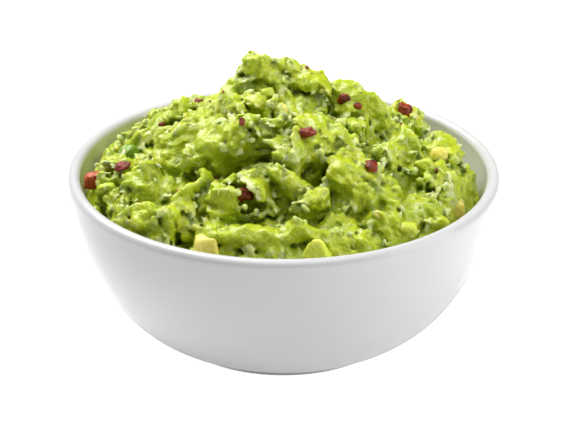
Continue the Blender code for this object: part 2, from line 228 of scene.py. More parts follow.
# %% The bowl's section, from the middle of the recess to the middle inside
def bowl_section():
    """Foot ring, outer wall, bead under the rim, lip, inner wall and floor, as radius and height."""
    ring_inside = FOOT_RADIUS - FOOT_WIDTH
    foot = [(0.0, RECESS), (ring_inside - 0.0012, RECESS), (ring_inside - 0.0004, 0.0004)]
    foot += [(ring_inside + 0.0004, 0.0), (FOOT_RADIUS - 0.0010, 0.0), (FOOT_RADIUS - 0.0002, 0.0004)]
    foot += [(FOOT_RADIUS, FOOT_HEIGHT - 0.0003)]
    neck = RIM_HEIGHT - LIP_RADIUS - NECK_DROP
    rise = np.linspace(0.0, 1.0, 60) ** 1.6  # closer together near the foot, where the wall bends most
    low_part = np.linspace(0, 0.02, 400)
    low = np.interp(FOOT_RADIUS + 0.0006, outer_radius(low_part), low_part)
    heights = low + (neck - low) * rise
    outer = np.stack((outer_radius(heights), heights), axis=1)
    bead = np.array(((outer[-1, 0] + 0.0001, neck + 0.0010), (RIM_RADIUS - 0.0001, neck + 0.0022)))
    lip = arc(RIM_RADIUS - LIP_RADIUS, RIM_HEIGHT - LIP_RADIUS, LIP_RADIUS, 0, 165, 16)
    inside = RIM_HEIGHT - INSIDE_DROP - BASE_THICKNESS - INSIDE_BEND
    heights = BASE_THICKNESS + INSIDE_BEND + inside * np.linspace(1.0, 0.0, 50)
    inner = np.stack((inner_radius(heights), heights), axis=1)
    base = [(FLOOR_RADIUS, BASE_THICKNESS + 0.0008), (0.012, BASE_THICKNESS), (0.0, BASE_THICKNESS)]
    return smoothed(np.concatenate((foot, outer, bead, lip, inner, base)), 1)


def turned(section, columns):
    """Radius and height carried round Z: x = r cos(t), y = r sin(t), z = h."""
    turn = np.arange(columns) * 2 * math.pi / columns
    radius, height = section.T
    ring = np.stack((np.cos(turn), np.sin(turn)), axis=1)
    flat = radius[:, None, None] * ring[None]
    return np.concatenate((flat, np.broadcast_to(height[:, None, None], (len(height), columns, 1))), axis=2)


points, faces = closed_grid(turned(bowl_section(), AROUND))
bowl = add_mesh("bowl_turned", points, faces)
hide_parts("bowl")

# %% [markdown]
# ## Unevenness that repeats
# Mash is nowhere regular, but each run of this script must give the same heap. So chance comes from a
# hash: whole-numbered cells of space are scrambled into numbers that look random and never change.
# Gradient noise blends them into soft waves, and `drift` gives three of those as a shift in space.

# %% Noise
GRANULE_BONUS = 0.35  # the most that chance adds to a granule's height, in cells squared
GRANULE_CREASE = 8.0  # a larger number gives sharper creases
GRANULE_MEAN = 0.06  # brings the field's mean close to zero


def scrambled(cell, seed):
    """A repeatable whole number under 2**32 for each cell of space."""
    mixed = (cell @ np.array((374761393, 668265263, 1442695041)) + seed * 1274126177) & 0xFFFFFFFF
    mixed = ((mixed ^ (mixed >> 13)) * 1274126177) & 0xFFFFFFFF
    mixed = ((mixed ^ (mixed >> 16)) * 2246822519) & 0xFFFFFFFF
    return mixed ^ (mixed >> 15)


def drift(points, size, seed, parts=3):
    """Gradient noise in some independent parts: the dot products of each cell corner's random slope and
    the way to it, blended over the cell by a quintic step."""
    scaled = points / size
    cell = np.floor(scaled).astype(np.int64)
    inside = scaled - cell
    blend = inside**3 * (inside * (inside * 6.0 - 15.0) + 10.0)
    total = np.zeros((len(points), parts))
    for corner in np.ndindex(2, 2, 2):
        weight = np.where(np.array(corner) == 1, blend, 1.0 - blend).prod(axis=1)
        x, y, z = (inside - corner).T
        for part in range(parts):
            pick = ((scrambled(cell + corner, seed + part) & 0xFFFFFF) * 12) >> 24  # one of 12 slopes
            first = np.where(pick < 8, x, y)
            second = np.where(pick < 4, y, z)
            slope = np.where(pick & 1, first, -first) + np.where(pick & 2, second, -second)
            total[:, part] += weight * slope
    return total


def granules(points, size, seed):
    """ln(sum of e^(k(b - d^2)))/k over the nearest cells, each with one centre at a random place: d is the
    distance to it in cells and b a random bonus. It is a field of round tops with soft creases between."""
    scaled = points / size
    cell = np.floor(scaled).astype(np.int64)
    total = np.zeros(len(points))
    for beside in np.ndindex(3, 3, 3):
        there = cell + np.array(beside) - 1
        chance = scrambled(there, seed)
        centre = there + np.stack((chance & 255, (chance >> 8) & 255, (chance >> 16) & 255), axis=1) / 255.0
        bonus = GRANULE_BONUS * (chance >> 24) / 255.0
        total += np.exp(GRANULE_CREASE * (bonus - ((centre - scaled) ** 2).sum(axis=1)))
    return np.log(total) / GRANULE_CREASE + GRANULE_MEAN


print("noise at the rim's middle:", drift(np.array([[0.0, 0.0, RIM_HEIGHT]]), 0.015, 3).round(3))

# %% [markdown]
# ## The form of the heap
# Guacamole is too stiff to level out. It keeps the shape of each spoonful that was dropped on it, with
# shelves, folds and dark hollows between them. A height map can't make the overhangs, so the heap is a
# distance field: a function of space, negative inside. It starts from a rounded cone in a bed that
# drops off near the wall. Flattened balls, the spoonfuls, melt into it, and hollows are taken away.

# %% The mean mound
SUMMIT = (-0.008, 0.004)
SUMMIT_RISE = 0.0347
SUMMIT_ROUND = 0.006
SLOPE = 0.60
REACH = {"left": 0.68, "right": 1.15, "front": 1.06, "back": 0.85}
EDGE = 0.0605
EDGE_MORE = {"left": 0.0060, "right": 0.0045, "front": 0.0075, "back": 0.0015}
EDGE_DROP = 0.017
EDGE_WIDTH = 0.010
BED_RISE = -0.0003
BED_MORE = {"left": 0.0075, "back": 0.0025}
CONE_SOFTNESS = 0.0025
BED_SINK = 0.0045


def eased(low, high, value):
    """0 below low, 1 above high, and 3s^2 - 2s^3 between."""
    share = np.clip((value - low) / (high - low), 0.0, 1.0)
    return share * share * (3.0 - 2.0 * share)


def mean_height(x, y):
    """The soft maximum of a cone with a round tip and a bed, less a drop near the wall. The cone's reach,
    the bed's height and where the drop starts depend on the side."""
    across, along = x - SUMMIT[0], y - SUMMIT[1]
    across = across / np.where(across < 0, REACH["left"], REACH["right"])
    along = along / np.where(along < 0, REACH["front"], REACH["back"])
    cone = SUMMIT_RISE - SLOPE * (np.sqrt(across**2 + along**2 + SUMMIT_ROUND**2) - SUMMIT_ROUND)
    out = np.hypot(x, y) + 1e-6
    side = {
        "left": eased(0.2, 0.9, -x / out),
        "right": eased(0.5, 0.95, x / out),
        "front": eased(0.3, 0.95, -y / out),
        "back": eased(0.2, 0.9, y / out),
    }
    bed = BED_RISE + BED_MORE["back"] * side["back"]
    bed = bed + BED_MORE["left"] * side["left"] * (1.0 - 0.6 * eased(0.6 * RIM_RADIUS, 0.88 * RIM_RADIUS, out))
    higher = np.maximum(cone, bed)
    joined = np.exp((cone - higher) / CONE_SOFTNESS) + np.exp((bed - higher) / CONE_SOFTNESS)
    edge = EDGE + sum(more * side[name] for name, more in EDGE_MORE.items())
    drop = EDGE_DROP * eased(edge - 0.3 * EDGE_WIDTH, edge + 0.7 * EDGE_WIDTH, out)
    return RIM_HEIGHT + higher + CONE_SOFTNESS * np.log(joined) - drop


print("the mean mound tops out at", round(float(mean_height(*SUMMIT)), 4), "m")

# %% Spoonfuls and hollows
# Each spoonful: x, y, lift over the mean surface, half length, half width, turn in degrees.
SPOONFULS = {
    "crown": (-0.0095, 0.004, 0.0056, 0.007, 0.0055, 0),
    "crown_left": (-0.018, 0.003, 0.0014, 0.007, 0.006, 30),
    "crown_right": (0.002, 0.007, 0.0032, 0.006, 0.005, 0),
    "crown_core": (-0.003, 0.006, 0.0015, 0.009, 0.007, 0),
    "crown_hook": (0.01, 0.003, 0.0055, 0.006, 0.005, -20),
    "scoop": (-0.013, -0.011, 0.003, 0.01, 0.006, 12),
    "shelf": (-0.015, -0.022, 0.0035, 0.016, 0.008, 4),
    "boulder": (0.011, -0.022, 0.0055, 0.0115, 0.0105, 20),
    "boulder_side": (0.023, -0.013, 0.002, 0.005, 0.008, -10),
    "shelf_tip": (0.001, -0.029, 0.003, 0.006, 0.006, 0),
    "left_shelf": (-0.029, -0.023, 0.003, 0.008, 0.005, 25),
    "curl": (0.001, -0.041, 0.003, 0.009, 0.004, -25),
    "middle_band": (-0.014, -0.042, 0.0005, 0.012, 0.006, 5),
    "slab": (0.025, -0.034, 0.0035, 0.017, 0.011, -35),
    "slab_peak": (0.032, -0.021, 0.005, 0.006, 0.005, 60),
    "slab_hook": (0.009, -0.047, 0.003, 0.007, 0.004, 30),
    "front_band": (-0.004, -0.059, 0.0022, 0.022, 0.0055, 2),
    "front_right": (0.022, -0.057, 0.0, 0.011, 0.007, 15),
    "slab_foot": (0.036, -0.045, 0.001, 0.01, 0.008, 30),
    "left_ridge": (-0.032, -0.043, 0.0035, 0.013, 0.0035, 62),
    "left_low": (-0.043, -0.046, 0.0, 0.012, 0.007, -40),
    "left_heap": (-0.047, -0.027, 0.002, 0.01, 0.009, 0),
    "left_middle": (-0.037, -0.008, 0.002, 0.011, 0.008, 10),
    "left_edge": (-0.058, -0.008, 0.0025, 0.006, 0.01, 0),
    "left_top": (-0.046, 0.015, 0.0045, 0.011, 0.009, 0),
    "left_back": (-0.036, 0.035, 0.0, 0.013, 0.009, 40),
    "right_top": (0.025, 0.007, 0.0045, 0.013, 0.009, -10),
    "right_middle": (0.042, -0.006, 0.002, 0.008, 0.009, 10),
    "right_heap": (0.052, -0.02, 0.002, 0.008, 0.009, 10),
    "right_low": (0.048, -0.037, 0.0, 0.008, 0.009, 40),
    "right_edge": (0.055, 0.001, 0.0028, 0.007, 0.01, 0),
    "right_back": (0.044, 0.022, 0.0032, 0.011, 0.009, -40),
    "back_middle": (0.005, 0.028, 0.001, 0.014, 0.009, 0),
    "back_left": (-0.016, 0.038, 0.0, 0.012, 0.008, 20),
    "back_low": (0.008, 0.052, 0.0, 0.016, 0.007, 0),
    "back_corner": (-0.026, 0.053, 0.0, 0.012, 0.007, 30),
    "back_right": (0.031, 0.048, 0.0, 0.011, 0.007, -30),
}

# Each hollow between spoonfuls: x, y, half length, half width, turn in degrees.
HOLLOWS = {
    "under_crown": (-0.008, -0.0178, 0.006, 0.002, -5),
    "under_shelf": (-0.016, -0.0315, 0.015, 0.0024, 5),
    "under_boulder": (0.01, -0.036, 0.009, 0.0018, 25),
    "front_groove": (-0.004, -0.051, 0.019, 0.0024, 3),
    "left_pocket": (-0.031, -0.055, 0.005, 0.003, -20),
    "right_hollow": (0.032, -0.0125, 0.004, 0.003, 0),
    "red_hollow": (-0.013, -0.045, 0.003, 0.0025, 0),
    "left_gap": (-0.0645, -0.0245, 0.006, 0.0028, -70),
    "dice_gap": (-0.061, -0.01, 0.0042, 0.0034, 0),
}

SPOON_THICKNESS = 0.72  # of the spoonful's shorter half side
SPOON_MELT = 0.0010
HOLLOW_DEPTH = 0.0055
HOLLOW_MELT = 0.0008
NEARBY = 0.006  # a form has no effect further out than this


def slope_axes(x, y, turn):
    """A point of the mean surface and three axes there: two along the slope, turned, and one out of it."""
    step = 0.0005
    height = mean_height(np.array((x + step, x - step, x, x, x)), np.array((y, y, y + step, y - step, y)))
    normal = np.array((height[1] - height[0], height[3] - height[2], 2 * step))
    normal /= np.linalg.norm(normal)
    along = np.array((1.0, 0.0, 0.0)) - normal * normal[0]
    along /= np.linalg.norm(along)
    cosine, sine = math.cos(math.radians(turn)), math.sin(math.radians(turn))
    beside = np.cross(normal, along)
    axes = np.stack((cosine * along + sine * beside, cosine * beside - sine * along, normal), axis=1)
    return np.array((x, y, height[4])), axes


def distance_to_ellipsoid(points, centre, half, axes):
    """k(k - 1)/g, where k is the distance in half sizes and g the length of its slope."""
    local = (points - centre) @ axes
    near = np.sqrt(((local / half) ** 2).sum(axis=1))
    return near * (near - 1.0) / (np.sqrt(((local / half**2) ** 2).sum(axis=1)) + 1e-9)


def melted(first, second, softness):
    """The smaller of two distances, rounded where they cross."""
    share = np.clip(0.5 + 0.5 * (second - first) / softness, 0.0, 1.0)
    return second * (1.0 - share) + first * share - softness * share * (1.0 - share)


def placed_forms():
    """Centre, half sizes, axes and reach of each spoonful and each hollow."""
    added, taken = [], []
    for x, y, lift, long, wide, turn in SPOONFULS.values():
        top, axes = slope_axes(x, y, turn)
        thick = SPOON_THICKNESS * min(long, wide) + SPOON_MELT
        centre = top + axes[:, 2] * (lift - thick * SPOON_THICKNESS)
        added.append((centre, np.array((long, wide, thick)), axes, long + wide + NEARBY))
    for x, y, long, wide, turn in HOLLOWS.values():
        top, axes = slope_axes(x, y, turn)
        centre = top - axes[:, 2] * HOLLOW_DEPTH / 3
        taken.append((centre, np.array((long, wide, HOLLOW_DEPTH)), axes, long + wide + NEARBY))
    return added, taken


ADDED, TAKEN = placed_forms()
print(len(ADDED), "spoonfuls and", len(TAKEN), "hollows")

# %% [markdown]
# ## From spoonfuls to mash
# The spoonfuls give the folds. Mash is also lumpy at every smaller size: pieces of avocado that the fork
# left, as large as a pea, a lentil and a grain of sand. Space itself is pushed about by noise, so that no
# fold is a clean ball. Then torn ridges, granules of four sizes and fine ripples are taken from the
# distance, which lifts the surface there. Two slow noises say where the mash is rough and where torn.

# %% The whole field
SPOON_DRIFTS = ((0.0150, 0.0030, 3), (0.0065, 0.0010, 6))  # size of the noise, how far it pushes, seed
TEAR_DRIFTS = ((0.0058, 0.0009, 81), (0.0026, 0.00025, 9))
GRANULES = (  # size, height, seed, and the share of the height that smooth mash keeps
    (0.0090, 0.0032, 31, 1.0),
    (0.0050, 0.0034, 51, 0.55),
    (0.0030, 0.0034, 61, 0.60),
    (0.0018, 0.0022, 66, 0.60),
)
ROUGH_SIZE = 0.020  # stretches of rough mash and of mash that the spoon smoothed are about this large
ROUGH_SEED = 71
ROUGH_SIDES = 0.60  # how much more of the mash is rough towards the left and the right
ROUGH_FROM = 0.35  # the share of the rim's radius at which that extra starts
PATCHES = (-0.25, 0.35)  # the noise between which smooth mash runs into rough or torn mash
RIDGES = ((0.0100, 0.0012, 91), (0.0044, 0.0004, 95))  # size, height, seed
RIDGE_SHARP = 16.0  # a larger number gives narrower ridges
RIPPLE_SIZE, RIPPLE_HEIGHT, RIPPLE_SEED = 0.0014, 0.00025, 101
RIPPLE_ROUND = 0.05  # the share of a ripple that rounds its crease
SHRINK = 0.0007  # the lumps stand out, so the spoonfuls under them are this much smaller
HOLLOW_GROWTH = 2.2  # how much larger the hollows get, as a multiple of that
SOFTER = 0.0030  # melting of the spoonfuls into each other
WALL_REACH = 0.0002  # how far the mash reaches into the bowl's wall, so that no gap shows
WALL_STEEP = 0.95  # turns a level distance to the wall into the shortest one, nearly


def spoon_field(points):
    """Distance to the mound with its spoonfuls and hollows, for points already drifted."""
    x, y, z = points.T
    distance = (z - (mean_height(x, y) - BED_SINK)) * math.cos(math.atan(SLOPE))
    for centre, half, axes, reach in ADDED:
        near = np.hypot(x - centre[0], y - centre[1]) < reach
        ball = distance_to_ellipsoid(points[near], centre, half, axes) + SHRINK
        distance[near] = melted(distance[near], ball, SOFTER)
    for centre, half, axes, reach in TAKEN:
        near = np.hypot(x - centre[0], y - centre[1]) < reach
        ball = distance_to_ellipsoid(points[near], centre, half, axes) - HOLLOW_GROWTH * SHRINK
        distance[near] = -melted(-distance[near], ball, HOLLOW_MELT)
    return distance


def mash_field(points):
    """The spoonfuls' distance at drifted points, less the heights of ridges, granules and ripples, and cut
    to the inside of the bowl. A ridge is (1 - least of 1 and k w^2)^2 high, where w is a noise."""
    drifted = points + sum(push * drift(points, size, seed) for size, push, seed in SPOON_DRIFTS)
    drifted = drifted + sum(push * drift(points, size, seed) for size, push, seed in TEAR_DRIFTS)
    distance = spoon_field(drifted)
    rough, torn = drift(points, ROUGH_SIZE, ROUGH_SEED, parts=2).T
    sideways = np.abs(points[:, 0]) / RIM_RADIUS - ROUGH_FROM
    rough = eased(*PATCHES, rough + ROUGH_SIDES * sideways)
    torn = eased(*PATCHES, torn)
    for size, height, seed in RIDGES:
        waves = drift(drifted, size, seed, parts=1)[:, 0]
        distance = distance - height * torn * (1.0 - np.minimum(1.0, RIDGE_SHARP * waves**2)) ** 2
    for size, height, seed, smooth in GRANULES:
        distance = distance - height * (smooth + (1.0 - smooth) * rough) * granules(drifted, size, seed)
    waves = drift(drifted, RIPPLE_SIZE, RIPPLE_SEED, parts=1)[:, 0]
    distance = distance - RIPPLE_HEIGHT * (0.5 + 0.5 * rough) * np.sqrt(waves**2 + RIPPLE_ROUND**2)
    radius = np.hypot(points[:, 0], points[:, 1])
    return np.maximum(distance, (radius - inner_radius(points[:, 2]) - WALL_REACH) * WALL_STEEP)


# %% [markdown]
# ## From a field to a surface
# Blender has no object that draws a field, so the surface is found on a grid. Each grid cell that the
# surface passes through gets one point, the mean of the places where the field changes sign along the
# cell's edges. Each such edge gets one four-sided face round it. That is called a surface net. Most of
# the grid lies far from the surface, so the field is first asked for on a coarse grid, and the fine
# grid is filled in only near the surface that the coarse one found.

# %% Values on a grid
AT_ONCE = 200000  # points for which the field is asked in one go, to spare memory


def near_values(field, low, counts, step, coarser, margin):
    """Field values on a grid, exact near the surface. Elsewhere they are a coarser grid's."""
    values, stride = None, coarser
    while stride >= 1:
        coarse = [np.arange(-(-count // stride) + 1) * stride for count in counts]
        if values is None:
            near = np.ones([len(line) for line in coarse], bool)
            values = np.zeros(near.shape)
        else:
            nearest = [
                np.minimum((line // stride + 1) // 2, size - 1) for line, size in zip(coarse, values.shape)]
            values = values[np.ix_(*nearest)]
            near = np.abs(values) < margin + 2 * stride * step
        there = np.argwhere(near)
        found = np.empty(len(there))
        for start in range(0, len(there), AT_ONCE):
            rows = there[start:start + AT_ONCE]
            found[start:start + AT_ONCE] = field(low + rows * stride * step)
        values[near] = found
        print(f"  grid of {stride * step * 1000:.1f} mm: {len(there)} of {values.size} values")
        margin = margin / 3
        stride //= 2
    return values


# %% The net
def surface_net(values, low, step):
    """Points and quads of the surface where the values change sign."""
    cells = np.array(values.shape) - 1
    total = np.zeros((cells.prod(), 3))
    count = np.zeros(cells.prod())
    quads = []
    for axis in range(3):
        first, last = [slice(None)] * 3, [slice(None)] * 3
        first[axis], last[axis] = slice(0, -1), slice(1, None)
        before, after = values[tuple(first)], values[tuple(last)]
        crossing = (before < 0) != (after < 0)
        place = np.argwhere(crossing)
        near, far = before[crossing], after[crossing]
        point = place.astype(float)
        point[:, axis] += near / (near - far)
        inside = np.ones(len(place), bool)
        around = []
        for one, other in ((0, 0), (1, 0), (1, 1), (0, 1)):
            cell = place.copy()
            cell[:, (axis + 1) % 3] -= one
            cell[:, (axis + 2) % 3] -= other
            real = ((cell >= 0) & (cell < cells)).all(axis=1)
            inside &= real
            number = np.ravel_multi_index(np.clip(cell, 0, cells - 1).T, cells)
            for part in range(3):
                total[:, part] += np.bincount(number[real], point[real, part], len(total))
            count += np.bincount(number[real], minlength=len(total))
            around.append(number)
        around = np.stack(around, axis=1)[inside]
        around[near[inside] >= 0] = around[near[inside] >= 0][:, ::-1]
        quads.append(around)
    return low + total / np.maximum(count, 1)[:, None] * step, np.concatenate(quads)


def largest_body(points, quads):
    """Only the faces that hang together with most others. Each point takes its neighbours' lowest number
    until nothing changes."""
    label = np.arange(len(points))
    while True:
        lowest = label[quads].min(axis=1)
        before = label.copy()
        for corner in range(4):
            np.minimum.at(label, quads[:, corner], lowest)
        label = label[label]
        if (label == before).all():
            break
    names, sizes = np.unique(label[quads[:, 0]], return_counts=True)
    return quads[label[quads[:, 0]] == names[sizes.argmax()]]


def open_edges(quads):
    """The edges that only one face has, in that face's direction."""
    ends = np.stack((quads, np.roll(quads, -1, axis=1)), axis=-1).reshape(-1, 2)
    _, index, count = np.unique(np.sort(ends, axis=1), axis=0, return_inverse=True, return_counts=True)
    return ends[count[index.ravel()] == 1]


# %% The mash
MASH_STEP = 0.0006
MASH_FLOOR = 0.0400  # the mash is hidden by the bowl and by itself below this height
MASH_HALF = 0.0715  # half the width of the grid, a little more than the bowl's inside
MASH_HEADROOM = 0.004  # how far the grid reaches over the CAD model
MASH_TRIANGLES = 190000
LUMP_MARGIN = 0.0045  # the lumps lie within this distance of the surface
COARSER = 4  # how many times coarser the first grid is


def thinned(thing, most):
    """Blender's Decimate, applied: the flattest places lose points until this many triangles are left."""
    triangles = sum(len(face.vertices) - 2 for face in thing.data.polygons)
    decimate = thing.modifiers.new("thin", "DECIMATE")
    decimate.ratio = min(1.0, most / triangles)
    mesh = bpy.data.meshes.new_from_object(thing.evaluated_get(bpy.context.evaluated_depsgraph_get()))
    thing.modifiers.clear()
    thing.data = mesh
    print(f"{thing.name}: {triangles} triangles thinned to {len(mesh.polygons)} faces")
    return thing


def make_mash():
    """The net of the field over the hidden part, closed by a cone down to the middle of the bowl."""
    low = np.array((-MASH_HALF, -MASH_HALF, MASH_FLOOR))
    high = np.array((MASH_HALF, MASH_HALF, CAD_BOX[1].z + MASH_HEADROOM))
    counts = np.ceil((high - low) / MASH_STEP).astype(int)
    values = near_values(mash_field, low, counts, MASH_STEP, COARSER, LUMP_MARGIN)
    points, quads = surface_net(values, low, MASH_STEP)
    quads = largest_body(points, quads)
    rim = open_edges(quads)
    middle = np.array((0.0, 0.0, BASE_THICKNESS + 0.0004))
    points = np.concatenate((points, middle[None]))
    cap = np.column_stack((rim[:, 1], rim[:, 0], np.full((len(rim), 2), len(points) - 1)))
    return thinned(add_mesh("mash", points, np.concatenate((quads, cap))), MASH_TRIANGLES)


mash = make_mash()
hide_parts("guacamole")

# %% [markdown]
# ## Where the mash is thin and where it is hidden
# These two masks carry painted light into the mash's colour. A ridge of mash lets light through and has a
# wet sheen, and the material paints that as a pale yellow painted highlight. A crevice is where shade
# falls, and the material paints it as a darker green painted shade. Both can be read from the field: from
# a point a little above the surface, the field is as large as the way back where the surface is open, and
# smaller in a crevice. From a point a little below, it says how thick the mash is. The two shares are
# stored on the points for the materials.

# %% Openness and thinness, the masks of painted shade and painted highlight
OPEN_NEAR, OPEN_FAR = 0.0012, 0.0045  # how far above the surface the field is asked for
THIN_DEPTH = 0.0016  # and how far below it
SPREAD = (5, 25, 50, 75, 95)  # the percentiles that are printed


def mesh_points(mesh):
    """Places and normals of a mesh's points, as rows."""
    places = np.empty(len(mesh.vertices) * 3, np.float32)
    normals = np.empty(len(mesh.vertices) * 3, np.float32)
    mesh.vertices.foreach_get("co", places)
    mesh.vertex_normals.foreach_get("vector", normals)
    return places.reshape(-1, 3).astype(float), normals.reshape(-1, 3).astype(float)


def store(mesh, name, values):
    """Writes one number for each point of the mesh."""
    mesh.attributes.new(name, "FLOAT", "POINT").data.foreach_set("value", values.astype(np.float32))


def field_share(way):
    """The field at a way along each normal of the mash, as a share of the way, from 0 to 1."""
    found = [mash_field(rows) for rows in np.array_split(MASH_PLACES + MASH_NORMALS * way, 8)]
    return np.clip(np.concatenate(found) / way, 0.0, 1.0)


MASH_PLACES, MASH_NORMALS = mesh_points(mash.data)
# Openness: where it is low, in crevices, the mash material paints shade as a deep green.
OPEN = 0.5 * field_share(OPEN_NEAR) + 0.5 * field_share(OPEN_FAR)
# Thinness: where it is high, on ridges, the mash material paints a pale highlight for the light that comes
# through and for the wet sheen.
THIN = 1.0 - field_share(-THIN_DEPTH)
store(mash.data, "open", OPEN)
store(mash.data, "thin", THIN)
print("openness", np.percentile(OPEN, SPREAD).round(2))
print("thinness", np.percentile(THIN, SPREAD).round(2))

# %% [markdown]
# ## The large pieces
# Chunks of avocado, diced tomato and strips of pepper were cut with a knife and then bruised in the
# mixing. A superellipsoid is a good start: a ball whose sines and cosines are raised to a power under
# one becomes a block with soft edges. A taper, a bend and some noise make each one its own. Each takes
# its middle from the CAD node that it stands for. The finer mash lies a little above or below the CAD
# heap, so the piece then slides along the line of sight to where that mash has its surface.

# %% A soft-edged block
BEND_SIZE, BEND_MORE = 1.7, 3.0  # noise as wide as the piece, which bends it, and its strength
DENT_SIZE = 0.45  # finer noise, which dents it


def soft_block(size, squareness, taper, seed, rough, rows=26, columns=40):
    """x = a c(u) c(v), y = b c(u) s(v), z = h s(u), where c and s are a cosine and a sine with their
    sign kept and their size raised to the squareness. It narrows upwards by the taper."""
    rise = np.linspace(-math.pi / 2, math.pi / 2, rows)[:, None]
    turn = (np.arange(columns) * 2 * math.pi / columns)[None]

    def power(value):
        return np.sign(value) * np.abs(value) ** squareness

    out = power(np.cos(rise))
    points = np.stack(np.broadcast_arrays(
        out * power(np.cos(turn)), out * power(np.sin(turn)), power(np.sin(rise))), axis=-1)
    narrower = 1.0 - taper * (points[..., 2:] + 1.0) / 2
    points[..., :2] *= narrower
    flat = points.reshape(-1, 3)
    flat = flat + rough * (BEND_MORE * drift(flat, BEND_SIZE, seed) + drift(flat, DENT_SIZE, seed + 7))
    return (flat * np.array(size) / 2).reshape(points.shape)


def on_slope(x, y, turn, lean):
    """Axes between upright and the heap's slope."""
    axes = Matrix(slope_axes(x, y, turn)[1].tolist()).to_quaternion()
    return np.array(Quaternion().slerp(axes, lean).to_matrix())


# How bent and dented a piece of each finish is, in half sizes.
PIECE_DENTS = {"ripe_avocado": 0.06, "green_avocado": 0.08, "cut_avocado": 0.06, "dark_tomato": 0.20}
OTHER_DENTS = 0.12

# Each large piece: finish, length, width, height, turn, squareness, taper, and how far it comes out of
# the mash towards the front, as a share of its height.
PIECES = {
    "avocado_chunk_front": ("ripe_avocado", 0.0098, 0.0086, 0.0080, 25, 0.36, 0.30, 0.45),
    "avocado_chunk_right": ("ripe_avocado", 0.0074, 0.0064, 0.0064, -20, 0.62, 0.20, -0.05),
    "avocado_chunk_side": ("green_avocado", 0.0066, 0.0056, 0.0058, 10, 0.75, 0.15, 0.1),
    "avocado_tip_front": ("cut_avocado", 0.0104, 0.0058, 0.0074, -15, 0.40, 0.70, 0.30),
    "avocado_lump_top": ("ripe_avocado", 0.0060, 0.0052, 0.0052, 0, 0.75, 0.20, 0.1),
    "avocado_lump_right": ("ripe_avocado", 0.0070, 0.0057, 0.0052, 10, 0.75, 0.20, -0.20),
    "tomato_dice_left": ("tomato", 0.0090, 0.0056, 0.0044, 8, 0.52, 0.20, 0.90),
    "tomato_piece_left": ("dark_tomato", 0.0062, 0.0032, 0.0028, 30, 0.85, 0.30, -0.15),
    "tomato_piece_middle": ("dark_tomato", 0.0064, 0.0046, 0.0042, -40, 0.62, 0.15, 0.0),
    "tomato_piece_hollow": ("dark_tomato", 0.0058, 0.0046, 0.0044, 10, 0.62, 0.10, 0.20),
    "tomato_piece_slab": ("dark_tomato", 0.0047, 0.0042, 0.0038, 0, 0.66, 0.10, 0.0),
    "tomato_piece_top": ("dark_tomato", 0.0044, 0.0036, 0.0036, 30, 0.60, 0.10, 0.0),
    "tomato_piece_back": ("dark_tomato", 0.0052, 0.0042, 0.0040, -15, 0.50, 0.10, 0.1),
    "pepper_strip_left": ("green_pepper", 0.0090, 0.0060, 0.0062, 40, 0.60, 0.15, 0.85),
    "pepper_strip_low": ("pale_pepper", 0.0070, 0.0036, 0.0034, 40, 0.60, 0.10, 1.00),
}

# %% The pieces in their places
SIGHT = np.array((0.0, math.cos(CAMERA_RISE), -math.sin(CAMERA_RISE)))  # the way that the camera looks
SIGHT_STEPS = 60  # steps to each side of a place
LEAN_INSIDE, LEAN_OUTSIDE = 0.6, 0.2  # how far a piece leans from upright to the slope
LEAN_RADIUS = 0.75 * RIM_RADIUS  # where the one changes to the other


def seen_on_mash(place, reach=0.003):
    """The point of the mash that is seen where a given point is seen: of the places on the line of sight
    where the field changes from outside to inside, the nearest one."""
    line = place + np.linspace(-reach, reach, 2 * SIGHT_STEPS + 1)[:, None] * SIGHT
    inside = mash_field(line) < 0
    enters = np.flatnonzero(inside[1:] & ~inside[:-1])
    return line[enters[np.abs(enters - SIGHT_STEPS).argmin()]] if len(enters) else place


def make_piece(name, row, seed):
    """One piece in the place of its CAD node, turned to the slope and sunk in the mash there."""
    finish, long, wide, tall, turn, squareness, taper, out = row
    low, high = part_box(name)
    middle = seen_on_mash(np.array((low + high) / 2)) - out * tall * SIGHT
    lean = LEAN_INSIDE if math.hypot(middle[0], middle[1]) < LEAN_RADIUS else LEAN_OUTSIDE
    block = soft_block((long, wide, tall), squareness, taper, seed, PIECE_DENTS.get(finish, OTHER_DENTS))
    placed = block @ on_slope(middle[0], middle[1], turn, lean).T + middle
    piece = add_mesh(name + "_cut", *closed_grid(placed))
    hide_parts(name)
    return piece


LARGE = {name: make_piece(name, row, seed) for seed, (name, row) in enumerate(PIECES.items(), start=200)}

# %% [markdown]
# ## Crumbs and flecks
# What is smaller than a lentil is too fine for the frame. A few kinds of small lumps are scattered over
# the mash: crumbs of avocado, paler crumbs, flecks of tomato and of pepper. Each kind is one mesh of
# many closed lumps with a few dozen faces each. Chance picks points of the mash for them, more often in
# the open than in a crevice. Each kind is sunk in by its own share, and a few have places of their own.

# %% Many lumps in one mesh
LUMP_STRETCH = (0.65, 1.35)  # the least and the most in each direction
LUMP_DENT, LUMP_DENT_SIZE = 0.45, 0.9
LUMPS_APART = 10.0  # in the noise
ANY_WAY = np.array((0.31, 0.87, 0.38))  # a direction that hardly any normal has


